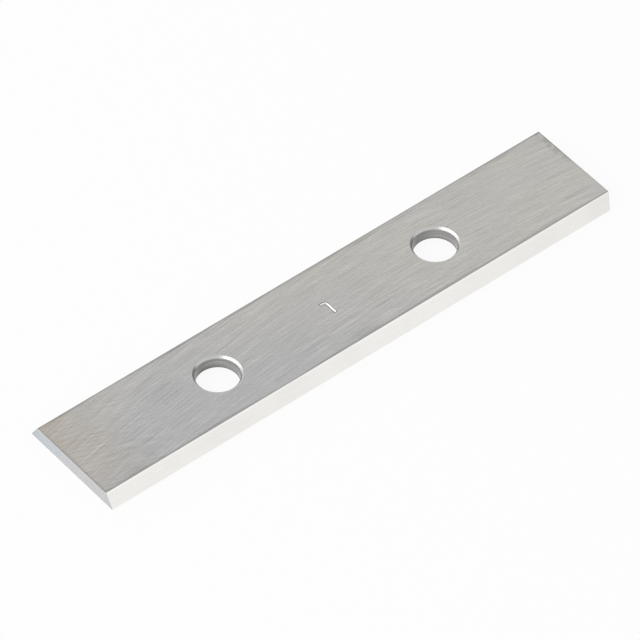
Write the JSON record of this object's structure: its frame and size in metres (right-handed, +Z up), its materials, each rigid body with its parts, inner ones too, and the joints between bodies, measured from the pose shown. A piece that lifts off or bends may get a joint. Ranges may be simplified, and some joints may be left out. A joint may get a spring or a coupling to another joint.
{
  "type": "planer insert knife",
  "caption": "Flat reversible insert knife for a planer head: a thin strip with a ground bevel along each long side and countersunk fixing holes.",
  "frame": {"origin": "centre of the larger face, on which the knife lies", "axes": "+X along the cutting edges, +Y across the width, +Z up through the thickness towards the smaller face"},
  "size_m": [0.06, 0.012, 0.0015],
  "materials": {
    "ground_metal": "surface-ground hard metal, bevels finely ground and bright"
  },
  "bodies": {
    "root": {"blade": "ground_metal"}
  },
  "joints": []
}
